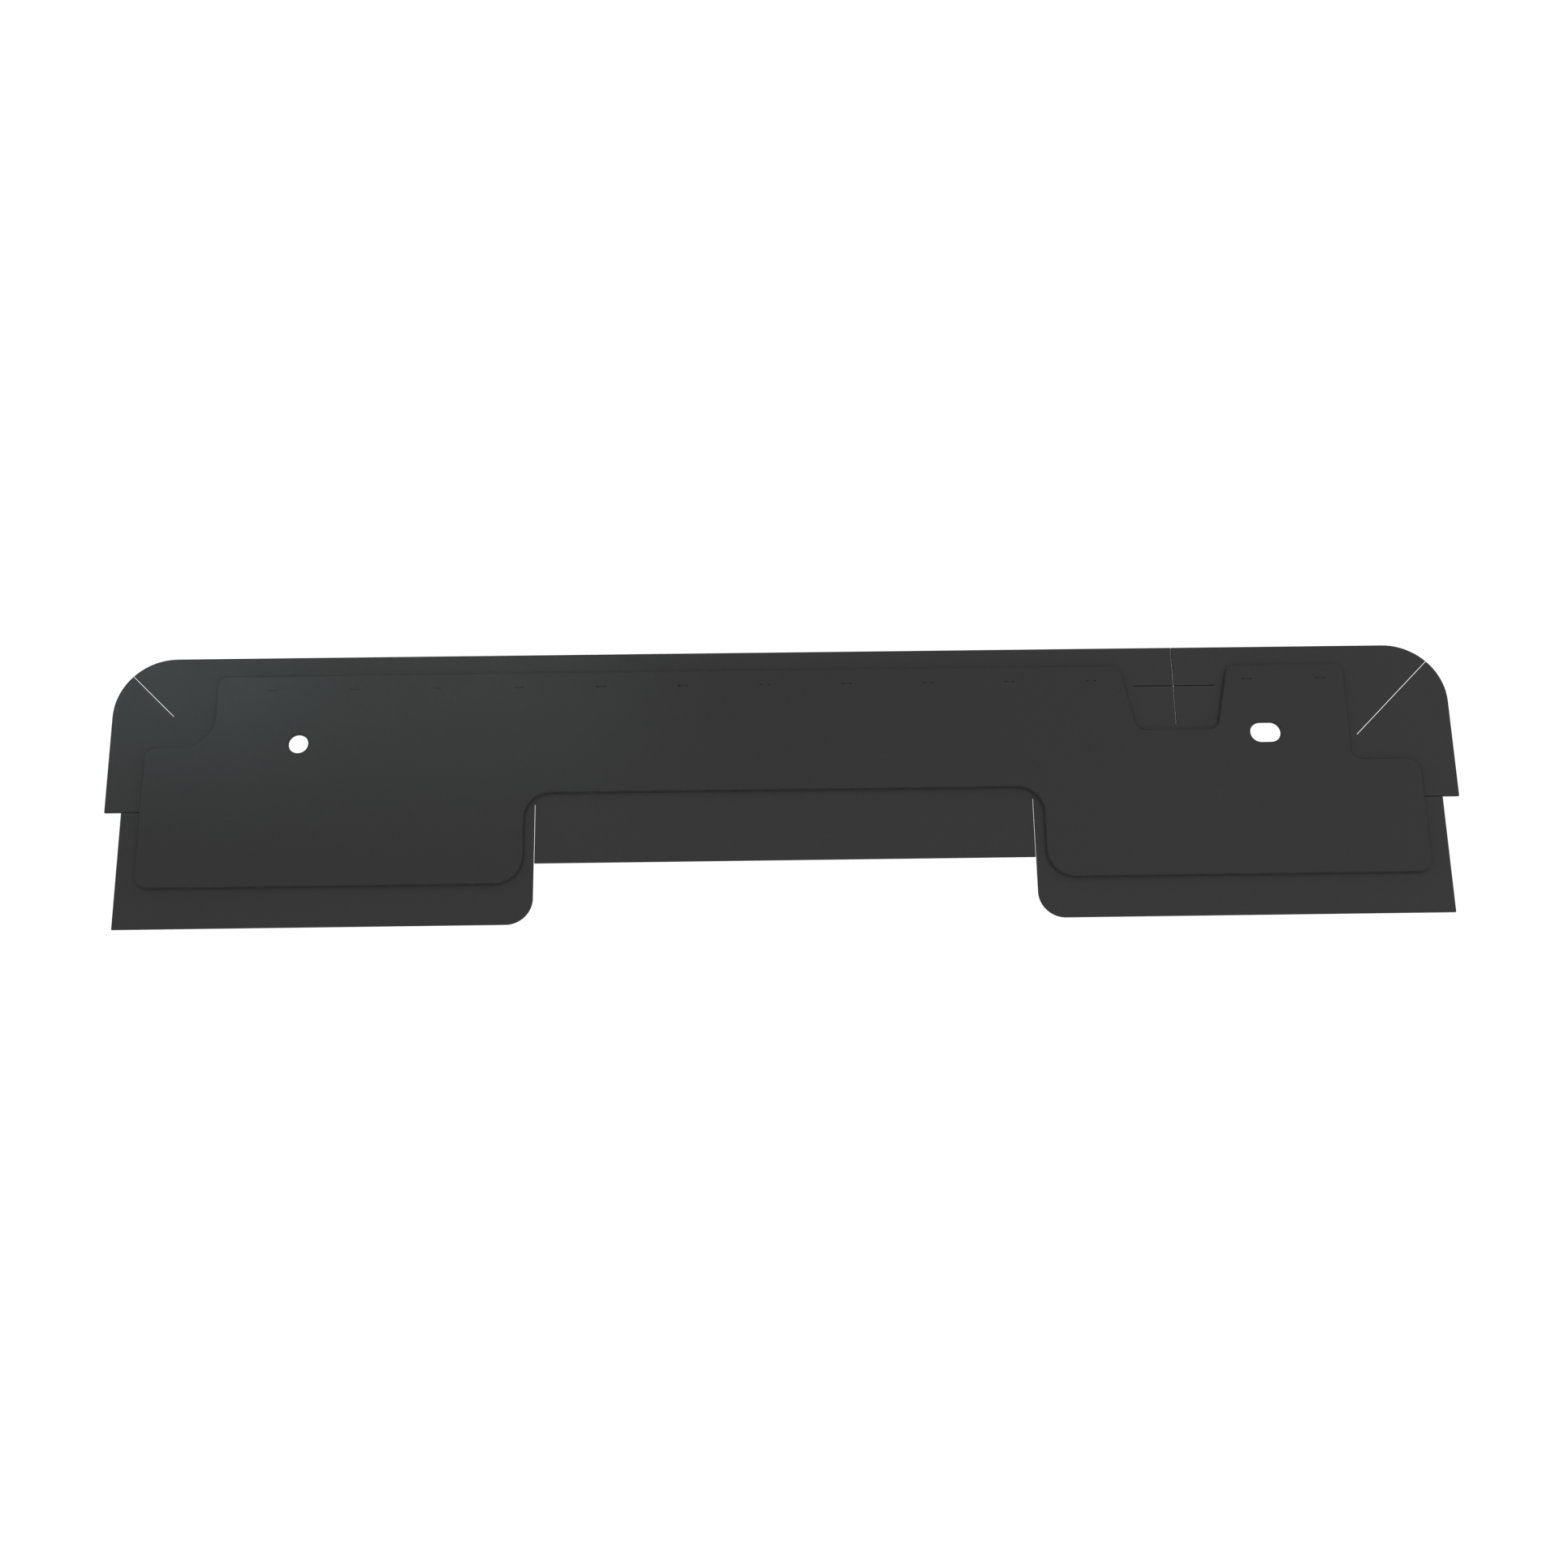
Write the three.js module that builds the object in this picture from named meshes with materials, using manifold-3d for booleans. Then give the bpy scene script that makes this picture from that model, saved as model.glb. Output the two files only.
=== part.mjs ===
// Kick plate for the plinth of a 600 mm wide built-in appliance: a thin
// flexible rubber apron with relief slits, stiffened by a raised rigid face
// plate that is stapled to its front along the upper edge.
//
// Frame: millimetres, +X to the right as seen from the front, +Z up, the front
// faces -Y. The back face of the apron lies in the plane y = 0 and the origin
// is midway between the two fixing holes, on that back face.
//
// The apron is one sheet on the real object. Every lip that a slit sets free
// is a solid of its own here, with a half-round edge on its fold line, so that
// it can turn about that line without touching the sheet behind it.

import * as THREE from 'three';
import { mergeVertices } from 'three/addons/utils/BufferGeometryUtils.js';
import Module from 'manifold-3d';

// ---------------------------------------------------------------- dimensions
const SHEET_T = 1.5;            // apron thickness
const PLATE_T = 1.8;            // face plate thickness
const PLATE_EDGE = 0.35;        // rounding of the plate's front edge

// apron outline
const WING_X = 300;             // half width above the side slits
const LOBE_X = 292.6;           // half width below the side slits
const SHEET_TOP = 41.6;
const WING_BOTTOM = -30.6;
const SHEET_BOTTOM = -83.8;
const CORNER_R = 27.4;          // upper outer corners
const GAP_X = 110.4;            // half width of the gap between the lobes
const LOBE_R = 11.8;            // lower inner corner of each lobe
const FLAP_BOTTOM = -56.2;
const FLAP_SLIT_TOP = -29.2;

// slits
const SLIT = 0.4;
const CORNER_SLIT = 0.45;
const SIDE_SLIT_END_X = 284.4;
const RIGHT_SLIT_RUN = 15.3;    // how far the right corner slit runs past the arc centre, along X and along Z
const CROSS_X = 176.6;          // centre of the crossed slits
const CROSS_Z = 23.2;
const CROSS_HALF = 18.3;        // half length of each crossed slit

// fold lines
const TOP_FOLD_Z = 34.0;
const SIDE_FOLD_X = 286.0;
const BOTTOM_FOLD_Z = -67.4;
const FLAP_FOLD_Z = -30.0;
const KNUCKLE_R = SHEET_T / 2;  // half-round edge on each fold line
const FOLD_ROOM = 0.8;          // distance from a fold line to the sheet behind it
const END_ROOM = 0.35;          // gap at the end of a lip whose corner is left on the sheet
const SIDE_RELIEF_Z = 27.0;     // the side lips stop here next to their fold line
const SIDE_RELIEF = 1.3;        // how far that relief reaches into the lip

// face plate outline
const PLATE_TOP = 32.4;
const PLATE_TOP_X = 253.6;      // half width of its upper part
const PLATE_X = 284.0;          // half width of its lower part
const STEP_LEFT_Z = -0.9;
const STEP_RIGHT_Z = -13.3;
const PLATE_BOTTOM = -65.8;
const ARCH_X = 115.0;           // half width of the arch between its feet
const ARCH_Z = -24.2;
const NOTCH_TOP_HALF = 24.3;    // notch around the crossed slits
const NOTCH_BOTTOM_HALF = 18.1;
const NOTCH_Z = 1.7;

// fixings
const FIX_X = 216.0;
const HOLE_D = 8.8;
const SLOT_L = 13.7;
const SLOT_W = 9.4;
const RUBBER_ROOM = 1.2;        // the apron's own holes are this much larger all round

// staples
const STAPLE_Z = 25.4;
const STAPLE_X = [-228.6, -191.8, -155.0, -118.3, -81.5, -44.7, -7.9, 28.9, 65.6, 102.4, 139.2, 209.4, 242.7];
const WIRE = 0.55;
const CROWN = 4.6;              // outside width of a staple
const PROUD = 0.2;              // the crown stands this far out of the plate
const LEG_ROOM = 0.1;           // room around a leg in its hole
const TIP_IN = 0.3;             // half distance between the two clinched tips
const TIP_SINK = 0.05;          // the clinched legs lie this far inside the back face

// ------------------------------------------------------------------ materials
const rubber = () => new THREE.MeshStandardMaterial({ color: 0x37373a, roughness: 0.62, metalness: 0.0 });
const plastic = () => new THREE.MeshStandardMaterial({ color: 0x383839, roughness: 0.48, metalness: 0.0 });
const wire = () => new THREE.MeshStandardMaterial({ color: 0x303031, roughness: 0.4, metalness: 0.6 });

// --------------------------------------------------------------- solid helpers
const wasm = await Module();
wasm.setup();

function toSolid(geometry) {
  const g = geometry.clone();
  g.deleteAttribute('normal');
  g.deleteAttribute('uv');
  const merged = mergeVertices(g, 1e-5);
  return new wasm.Manifold(new wasm.Mesh({
    numProp: 3,
    vertProperties: new Float32Array(merged.attributes.position.array),
    triVerts: new Uint32Array(merged.index.array),
  }));
}

function toMesh(name, solid, material) {
  const m = solid.getMesh();
  const geometry = new THREE.BufferGeometry();
  geometry.setAttribute('position', new THREE.BufferAttribute(new Float32Array(m.vertProperties), 3));
  geometry.setIndex(new THREE.BufferAttribute(new Uint32Array(m.triVerts), 1));
  geometry.computeVertexNormals();
  const mesh = new THREE.Mesh(geometry, material);
  mesh.name = name;
  return mesh;
}

// A polygon with a radius at each corner: [x, z, r, segments].
function filleted(corners) {
  const out = [];
  const n = corners.length;
  for (let i = 0; i < n; i++) {
    const [x, z, r = 0, seg = 8] = corners[i];
    if (r === 0) { out.push(new THREE.Vector2(x, z)); continue; }
    const p = new THREE.Vector2(x, z);
    const a = new THREE.Vector2(corners[(i + n - 1) % n][0], corners[(i + n - 1) % n][1]).sub(p).normalize();
    const b = new THREE.Vector2(corners[(i + 1) % n][0], corners[(i + 1) % n][1]).sub(p).normalize();
    const half = Math.acos(Math.max(-1, Math.min(1, a.dot(b)))) / 2;
    const centre = a.clone().add(b).normalize().multiplyScalar(r / Math.sin(half)).add(p);
    const start = p.clone().addScaledVector(a, r / Math.tan(half)).sub(centre);
    const end = p.clone().addScaledVector(b, r / Math.tan(half)).sub(centre);
    const a0 = Math.atan2(start.y, start.x);
    let sweep = Math.atan2(end.y, end.x) - a0;
    while (sweep > Math.PI) sweep -= 2 * Math.PI;
    while (sweep < -Math.PI) sweep += 2 * Math.PI;
    for (let k = 0; k <= seg; k++) {
      const t = a0 + sweep * k / seg;
      out.push(new THREE.Vector2(centre.x + r * Math.cos(t), centre.y + r * Math.sin(t)));
    }
  }
  return out;
}

// Points of a stadium (a circle when length equals width).
function stadium(cx, cz, length, width, seg = 14) {
  const r = width / 2, s = (length - width) / 2, out = [];
  for (let k = 0; k <= seg; k++) {
    const t = -Math.PI / 2 + Math.PI * k / seg;
    out.push(new THREE.Vector2(cx + s + r * Math.cos(t), cz + r * Math.sin(t)));
  }
  for (let k = s > 0 ? 0 : 1; k <= (s > 0 ? seg : seg - 1); k++) {
    const t = Math.PI / 2 + Math.PI * k / seg;
    out.push(new THREE.Vector2(cx - s + r * Math.cos(t), cz + r * Math.sin(t)));
  }
  return out;
}

// Swap a geometry from its drawing plane into the part's frame: drawing y
// becomes Z and the extrusion runs towards the front.
function standUp(geometry, yBack = 0) {
  const p = geometry.attributes.position;
  for (let i = 0; i < p.count; i++) {
    const x = p.getX(i), y = p.getY(i), z = p.getZ(i);
    p.setXYZ(i, x, yBack - z, y);
  }
  return geometry;
}

// A flat prism between y = yBack (rear) and y = yBack - depth (front).
function prism(points, depth, yBack = 0, holes = []) {
  const shape = new THREE.Shape(points);
  for (const h of holes) shape.holes.push(new THREE.Path(h));
  return toSolid(standUp(new THREE.ExtrudeGeometry(shape, { depth, bevelEnabled: false, curveSegments: 1 }), yBack));
}

const rect = (x0, z0, x1, z1) => [[x0, z0], [x1, z0], [x1, z1], [x0, z1]].map(([x, z]) => new THREE.Vector2(x, z));
const poly = (list) => list.map(([x, z]) => new THREE.Vector2(x, z));

function box(x0, x1, y0, y1, z0, z1) {
  const g = new THREE.BoxGeometry(x1 - x0, y1 - y0, z1 - z0);
  g.translate((x0 + x1) / 2, (y0 + y1) / 2, (z0 + z1) / 2);
  return toSolid(g);
}

// A straight slit of the given width along the line from a to b.
function slit(a, b, width) {
  const d = new THREE.Vector2(b[0] - a[0], b[1] - a[1]).normalize();
  const nx = -d.y * width / 2, nz = d.x * width / 2;
  return prism(poly([[a[0] - nx, a[1] - nz], [b[0] - nx, b[1] - nz], [b[0] + nx, b[1] + nz], [a[0] + nx, a[1] + nz]]), SHEET_T + 2, 1);
}

// A long bar with the lip's own section: flat, and half-round on the fold line.
// (px, pz) is a point of the fold line and (nx, nz) points into the lip.
function knuckledBar(px, pz, nx, nz, reach, half) {
  const section = [];
  const seg = 8;
  for (let k = 0; k <= seg; k++) {
    const t = Math.PI / 2 + Math.PI * k / seg;
    section.push(new THREE.Vector2(KNUCKLE_R * Math.cos(t), -SHEET_T / 2 + KNUCKLE_R * Math.sin(t)));
  }
  section[0].set(0, 0);
  section[seg].set(0, -SHEET_T);
  section.push(new THREE.Vector2(reach, -SHEET_T), new THREE.Vector2(reach, 0));
  const g = new THREE.ExtrudeGeometry(new THREE.Shape(section), { depth: 2 * half, bevelEnabled: false });
  const p = g.attributes.position;
  for (let i = 0; i < p.count; i++) {
    const d = p.getX(i), y = p.getY(i), s = p.getZ(i) - half;
    p.setXYZ(i, px + d * nx - s * nz, y, pz + d * nz + s * nx);
  }
  return toSolid(g);
}

// --------------------------------------------------------------- whole apron
const X = WING_X, L = LOBE_X, G = GAP_X;
const sheetOutline = filleted([
  [-X, WING_BOTTOM], [-L, WING_BOTTOM], [-L, SHEET_BOTTOM], [-G, SHEET_BOTTOM, LOBE_R, 8],
  [-G, FLAP_BOTTOM], [G, FLAP_BOTTOM], [G, SHEET_BOTTOM, LOBE_R, 8], [L, SHEET_BOTTOM],
  [L, WING_BOTTOM], [X, WING_BOTTOM], [X, SHEET_TOP, CORNER_R, 12], [-X, SHEET_TOP, CORNER_R, 12],
]);
const rubberHoles = [
  stadium(-FIX_X, 0, HOLE_D + 2 * RUBBER_ROOM, HOLE_D + 2 * RUBBER_ROOM, 12).reverse(),
  stadium(FIX_X, 0, SLOT_L + 2 * RUBBER_ROOM, SLOT_W + 2 * RUBBER_ROOM, 12).reverse(),
];

const arcX = WING_X - CORNER_R, arcZ = SHEET_TOP - CORNER_R;    // centre of each upper corner
const OUT = 24;                                                 // runs a corner slit well past the edge
const slits = [
  slit([-arcX, arcZ], [-arcX - OUT, arcZ + OUT], CORNER_SLIT),
  slit([arcX + OUT, arcZ + OUT], [arcX - RIGHT_SLIT_RUN, arcZ - RIGHT_SLIT_RUN], CORNER_SLIT),
  prism(rect(-L - 9, WING_BOTTOM - SLIT, -SIDE_SLIT_END_X, WING_BOTTOM), SHEET_T + 2, 1),
  prism(rect(SIDE_SLIT_END_X, WING_BOTTOM - SLIT, L + 9, WING_BOTTOM), SHEET_T + 2, 1),
  prism(rect(-G, FLAP_BOTTOM - 1, -G + SLIT, FLAP_SLIT_TOP), SHEET_T + 2, 1),
  prism(rect(G - SLIT, FLAP_BOTTOM - 1, G, FLAP_SLIT_TOP), SHEET_T + 2, 1),
  prism(rect(CROSS_X - SLIT / 2, CROSS_Z - CROSS_HALF, CROSS_X + SLIT / 2, SHEET_TOP + 3), SHEET_T + 2, 1),
  prism(rect(CROSS_X - CROSS_HALF, CROSS_Z - SLIT / 2, CROSS_X + CROSS_HALF, CROSS_Z + SLIT / 2), SHEET_T + 2, 1),
];

let sheet = prism(sheetOutline, SHEET_T, 0, rubberHoles);
for (const s of slits) sheet = sheet.subtract(s);

// ---------------------------------------------------------------------- lips
// Each lip: a point of its fold line, the direction into the lip, and the
// region it covers when the region's fold side is set back by a.
const FAR = 60;
const onSlit = arcZ - arcX;                      // z + x is constant along the left corner slit
const lowerFold = (CROSS_HALF - FOLD_ROOM * Math.SQRT2);     // lower petals: 45 degree fold lines
const upperRise = 7.8;                           // upper petals: the fold line climbs this much
const upperRun = 16.4;
const upperLen = Math.hypot(upperRun, upperRise);
const un = [upperRise / upperLen, -upperRun / upperLen];     // into the upper left petal
const upperStart = FOLD_ROOM * upperLen / upperRise;         // sets the fold line back from the slit's end
const ux = CROSS_X - CROSS_HALF + upperStart;                // where the fold line meets the level slit
const Q = Math.SQRT1_2;

function mirrorRegion(list) { return list.map(([x, z]) => [-x, z]).reverse(); }
function mirrorCross(list) { return list.map(([x, z]) => [2 * CROSS_X - x, z]).reverse(); }

const regionTopLeft = (a) => {
  const z = TOP_FOLD_Z - a;
  return [[onSlit - z, z], [CROSS_X, z], [CROSS_X, FAR], [onSlit - FAR, FAR]];
};
const regionTopRight = (a) => {
  const z = TOP_FOLD_Z - a;
  return [[CROSS_X, z], [z - onSlit, z], [FAR - onSlit, FAR], [CROSS_X, FAR]];
};
const regionSideLeft = (a) => {
  const x = -SIDE_FOLD_X + a, zs = WING_BOTTOM - SLIT / 2;
  return [[-330, zs], [x, zs], [x, onSlit - x], [onSlit - FAR, FAR], [-330, FAR]];
};
const regionBottomLeft = (a) => {
  const z = BOTTOM_FOLD_Z + a;
  return [[-320, z], [-320, -100], [-90, -100], [-90, z]];
};
const regionFlap = (a) => {
  const z = FLAP_FOLD_Z + a, x = G - SLIT / 2;
  return [[-x, z], [-x, -70], [x, -70], [x, z]];
};
const regionLowerLeftPetal = (a) => {
  const e = lowerFold + a * Math.SQRT2;
  return [[CROSS_X - e, CROSS_Z], [CROSS_X, CROSS_Z - e], [CROSS_X, CROSS_Z]];
};
const regionUpperLeftPetal = (a) => {
  const x0 = ux - a * upperLen / upperRise;
  return [[x0, CROSS_Z], [CROSS_X, CROSS_Z], [CROSS_X, CROSS_Z + (CROSS_X - x0) * upperRise / upperRun]];
};

// A petal's sharp corners would turn into their neighbours, so they stay on
// the sheet: span is the part of the fold line that turns, measured from p.
const midLow = lowerFold / 2;
const lowerSpan = [-10.5, 10.5];
const upperLeftSpan = [4.5, 17.5];
const upperRightSpan = [-17.5, -4.5];
const lips = [
  { name: 'top_lip_left', p: [-57, TOP_FOLD_Z], n: [0, 1], half: 300, region: regionTopLeft },
  { name: 'top_lip_right', p: [235, TOP_FOLD_Z], n: [0, 1], half: 120, region: regionTopRight },
  { name: 'side_lip_left', p: [-SIDE_FOLD_X, 0], n: [-1, 0], half: 80, region: regionSideLeft },
  { name: 'side_lip_right', p: [SIDE_FOLD_X, 0], n: [1, 0], half: 80, region: (a) => mirrorRegion(regionSideLeft(a)) },
  { name: 'bottom_lip_left', p: [-200, BOTTOM_FOLD_Z], n: [0, -1], half: 150, region: regionBottomLeft },
  { name: 'bottom_lip_right', p: [200, BOTTOM_FOLD_Z], n: [0, -1], half: 150, region: (a) => mirrorRegion(regionBottomLeft(a)) },
  { name: 'centre_flap', p: [0, FLAP_FOLD_Z], n: [0, -1], half: 150, region: regionFlap },
  { name: 'petal_lower_left', p: [CROSS_X - midLow, CROSS_Z - midLow], n: [Q, Q], half: 40, region: regionLowerLeftPetal, span: lowerSpan },
  { name: 'petal_lower_right', p: [CROSS_X + midLow, CROSS_Z - midLow], n: [-Q, Q], half: 40, region: (a) => mirrorCross(regionLowerLeftPetal(a)), span: lowerSpan },
  { name: 'petal_upper_left', p: [ux, CROSS_Z], n: un, half: 40, region: regionUpperLeftPetal, span: upperLeftSpan },
  { name: 'petal_upper_right', p: [2 * CROSS_X - ux, CROSS_Z], n: [-un[0], un[1]], half: 40, region: (a) => mirrorCross(regionUpperLeftPetal(a)), span: upperRightSpan },
];

// The strip of the drawing plane between two points of a lip's fold line.
function band(lip, room) {
  const [nx, nz] = lip.n;
  const at = (d, t) => [lip.p[0] + d * nx - t * nz, lip.p[1] + d * nz + t * nx];
  const [t0, t1] = [lip.span[0] - room, lip.span[1] + room];
  return prism(poly([at(-5, t0), at(60, t0), at(60, t1), at(-5, t1)]), SHEET_T + 2, 1);
}

const sideRelief = (sign) => box(
  Math.min(sign * (SIDE_FOLD_X - FOLD_ROOM), sign * (SIDE_FOLD_X + SIDE_RELIEF)),
  Math.max(sign * (SIDE_FOLD_X - FOLD_ROOM), sign * (SIDE_FOLD_X + SIDE_RELIEF)),
  -SHEET_T - 1, 1, SIDE_RELIEF_Z, SIDE_RELIEF_Z + 4);

let core = sheet;
const lipSolids = [];
for (const lip of lips) {
  const bar = knuckledBar(lip.p[0], lip.p[1], lip.n[0], lip.n[1], 60, lip.half);
  let cover = prism(poly(lip.region(KNUCKLE_R + 0.01)), SHEET_T + 2, 1);
  let cut = prism(poly(lip.region(FOLD_ROOM)), SHEET_T + 2, 1);
  if (lip.span) {
    cover = cover.intersect(band(lip, 0));
    cut = cut.intersect(band(lip, END_ROOM));
  }
  if (lip.name === 'side_lip_left') cover = cover.subtract(sideRelief(-1));
  if (lip.name === 'side_lip_right') cover = cover.subtract(sideRelief(1));
  lipSolids.push([lip.name, sheet.intersect(cover).intersect(bar)]);
  core = core.subtract(cut);
}

// ---------------------------------------------------------------- face plate
const plateOutline = filleted([
  [-PLATE_X, PLATE_BOTTOM, 6, 6], [-ARCH_X, PLATE_BOTTOM, 12.6, 10], [-ARCH_X, ARCH_Z, 12, 10],
  [ARCH_X, ARCH_Z, 12, 10], [ARCH_X, PLATE_BOTTOM, 12.6, 10], [PLATE_X, PLATE_BOTTOM, 6, 6],
  [PLATE_X, STEP_RIGHT_Z, 5.6, 6], [PLATE_TOP_X, STEP_RIGHT_Z, 4.5, 6], [PLATE_TOP_X, PLATE_TOP, 4.4, 6],
  [CROSS_X + NOTCH_TOP_HALF, PLATE_TOP, 5, 6], [CROSS_X + NOTCH_BOTTOM_HALF, NOTCH_Z, 5, 6],
  [CROSS_X - NOTCH_BOTTOM_HALF, NOTCH_Z, 5, 6], [CROSS_X - NOTCH_TOP_HALF, PLATE_TOP, 5, 6],
  [-PLATE_TOP_X, PLATE_TOP, 4.4, 6], [-PLATE_TOP_X, STEP_LEFT_Z, 14.6, 10], [-PLATE_X, STEP_LEFT_Z, 5, 6],
]);
const plateHoles = [
  stadium(-FIX_X, 0, HOLE_D, HOLE_D, 16).reverse(),
  stadium(FIX_X, 0, SLOT_L, SLOT_W, 12).reverse(),
];
const plateShape = new THREE.Shape(plateOutline);
for (const h of plateHoles) plateShape.holes.push(new THREE.Path(h));
const SPARE = 1.0;              // cut off again behind the plate
const plateBlank = toSolid(standUp(new THREE.ExtrudeGeometry(plateShape, {
  depth: PLATE_T + SPARE - 2 * PLATE_EDGE, bevelEnabled: true, bevelThickness: PLATE_EDGE,
  bevelSize: PLATE_EDGE, bevelOffset: -PLATE_EDGE, bevelSegments: 2, curveSegments: 1,
}), -SHEET_T + SPARE - PLATE_EDGE));
const FRONT = -SHEET_T - PLATE_T;
let plate = plateBlank.intersect(box(-WING_X, WING_X, FRONT - 1, -SHEET_T, -120, 80));

// ------------------------------------------------------------------- staples
// A flat C of square wire: the crown lies in a shallow groove in the plate's
// front, two legs go through plate and apron, and their clinched tips lie in
// a groove in the apron's back face.
const half = CROWN / 2;
const crownFloor = FRONT - PROUD + WIRE;
const tipFront = -TIP_SINK - WIRE;
const stapleSection = filleted([
  [-half, FRONT - PROUD, 0.4, 3], [half, FRONT - PROUD, 0.4, 3], [half, -TIP_SINK, 0.4, 3],
  [TIP_IN, -TIP_SINK], [TIP_IN + 0.2, tipFront], [half - WIRE, tipFront],
  [half - WIRE, crownFloor], [-half + WIRE, crownFloor], [-half + WIRE, tipFront],
  [-TIP_IN - 0.2, tipFront], [-TIP_IN, -TIP_SINK], [-half, -TIP_SINK, 0.4, 3],
]);

const stapleMeshes = [];
STAPLE_X.forEach((sx, i) => {
  const z0 = STAPLE_Z - WIRE / 2 - LEG_ROOM, z1 = STAPLE_Z + WIRE / 2 + LEG_ROOM;
  const out = half + LEG_ROOM, inn = half - WIRE - LEG_ROOM;
  plate = plate.subtract(box(sx - out, sx + out, FRONT - 1, crownFloor, z0, z1));
  core = core.subtract(box(sx - out, sx + out, tipFront - 0.05, 1, z0, z1));
  for (const side of [-1, 1]) {
    const a = sx + side * inn, b = sx + side * out;
    const through = box(Math.min(a, b), Math.max(a, b), FRONT - 1, 1, z0, z1);
    plate = plate.subtract(through);
    core = core.subtract(through);
  }
  const g = new THREE.ExtrudeGeometry(new THREE.Shape(stapleSection), { depth: WIRE, bevelEnabled: false });
  g.translate(0, 0, -WIRE / 2);
  const mesh = new THREE.Mesh(g, wire());
  mesh.name = 'staple_' + String(i + 1).padStart(2, '0');
  mesh.position.set(sx, 0, STAPLE_Z);
  stapleMeshes.push(mesh);
});

// ------------------------------------------------------------------ assembly
const kickPlate = new THREE.Group();
const apron = new THREE.Group();
apron.add(toMesh('apron_core', core, rubber()));
for (const [name, solid] of lipSolids) apron.add(toMesh(name, solid, rubber()));
const rigid = new THREE.Group();
rigid.add(toMesh('face_plate', plate, plastic()));
for (const m of stapleMeshes) rigid.add(m);
kickPlate.add(apron, rigid);

export default kickPlate;
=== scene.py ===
import math

import bmesh
import bpy
import numpy as np
from mathutils import Matrix, Vector
from mathutils.geometry import delaunay_2d_cdt


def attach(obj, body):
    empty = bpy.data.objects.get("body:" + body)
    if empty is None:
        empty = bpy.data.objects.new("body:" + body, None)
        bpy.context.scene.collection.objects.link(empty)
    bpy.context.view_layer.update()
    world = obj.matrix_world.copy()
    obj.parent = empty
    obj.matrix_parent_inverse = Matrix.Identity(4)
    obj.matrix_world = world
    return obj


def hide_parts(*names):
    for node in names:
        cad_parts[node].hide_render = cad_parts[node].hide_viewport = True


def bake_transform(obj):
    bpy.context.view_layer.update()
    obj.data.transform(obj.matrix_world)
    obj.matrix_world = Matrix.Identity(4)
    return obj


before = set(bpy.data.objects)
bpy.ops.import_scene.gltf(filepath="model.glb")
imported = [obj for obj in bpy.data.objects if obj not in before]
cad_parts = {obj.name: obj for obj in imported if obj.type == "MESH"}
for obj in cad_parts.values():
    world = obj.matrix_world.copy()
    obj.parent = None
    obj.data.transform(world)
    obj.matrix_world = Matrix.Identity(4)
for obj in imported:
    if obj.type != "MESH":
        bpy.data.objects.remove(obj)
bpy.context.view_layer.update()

MM = 0.001
scene = bpy.context.scene

# ------------------------------------------------------------------ numbers
SHEET_T, PLATE_T = 1.5, 1.8
FRONT = -SHEET_T - PLATE_T
WING_X, LOBE_X = 300.0, 292.6
SHEET_TOP, WING_BOTTOM, SHEET_BOTTOM = 41.6, -30.6, -83.8
CORNER_R, LOBE_R = 27.4, 11.8
GAP_X, FLAP_X, FLAP_BOTTOM, FLAP_SLIT_TOP = 110.4, 110.1, -56.2, -29.2
SLIT, CORNER_SLIT, CROSS_SLIT, SIDE_SLIT_END = 0.30, 0.27, 0.297, 284.4
RIGHT_RUN = 15.3
CROSS_X, CROSS_Z, CROSS_HALF = 176.6, 23.2, 18.3
ARC_X, ARC_Z = WING_X - CORNER_R, SHEET_TOP - CORNER_R
TOP_FOLD, SIDE_FOLD, BOTTOM_FOLD, FLAP_FOLD = 34.0, 286.0, -67.4, -30.0
FOLD_ROOM = 0.8
FIX_X, HOLE_D, SLOT_L, SLOT_W, RUBBER_ROOM = 216.0, 8.8, 13.7, 9.4, 1.2
STAPLE_Z = 25.4
STAPLE_X = [-228.6, -191.8, -155.0, -118.3, -81.5, -44.7, -7.9, 28.9, 65.6, 102.4, 139.2, 209.4, 242.7]
WIRE, CROWN, PROUD, DIP = 0.42, 4.1, 0.1, 0.23
Q = math.sqrt(0.5)


# -------------------------------------------------------------- flat shapes
def arc(cx, cz, r, a0, a1, step=4.5):
    """Points of an arc from a0 to a1 in degrees, both ends included."""
    n = max(2, int(math.ceil(abs(a1 - a0) / step)))
    return [
        (cx + r * math.cos(math.radians(a0 + (a1 - a0) * k / n)),
         cz + r * math.sin(math.radians(a0 + (a1 - a0) * k / n)))
        for k in range(n + 1)
    ]


def filleted(corners, step=4.5):
    """A closed outline with a radius at each corner: (x, z, r)."""
    out = []
    n = len(corners)
    for i, corner in enumerate(corners):
        x, z = corner[0], corner[1]
        r = corner[2] if len(corner) > 2 else 0
        if r == 0:
            out.append((x, z))
            continue
        p = Vector((x, z))
        a = (Vector(corners[i - 1][:2]) - p).normalized()
        b = (Vector(corners[(i + 1) % n][:2]) - p).normalized()
        half = math.acos(max(-1.0, min(1.0, a.dot(b)))) / 2
        c = p + (a + b).normalized() * (r / math.sin(half))
        s = p + a * (r / math.tan(half)) - c
        e = p + b * (r / math.tan(half)) - c
        a0 = math.degrees(math.atan2(s.y, s.x))
        sweep = math.degrees(math.atan2(e.y, e.x)) - a0
        while sweep > 180:
            sweep -= 360
        while sweep < -180:
            sweep += 360
        out += arc(c.x, c.y, r, a0, a0 + sweep, step)
    return out


def stadium(cx, cz, length, width, step=7.5):
    r, s = width / 2, (length - width) / 2
    if s < 1e-6:
        return arc(cx, cz, r, 0, 360, step)[:-1]
    return arc(cx + s, cz, r, -90, 90, step) + arc(cx - s, cz, r, 90, 270, step)


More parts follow.
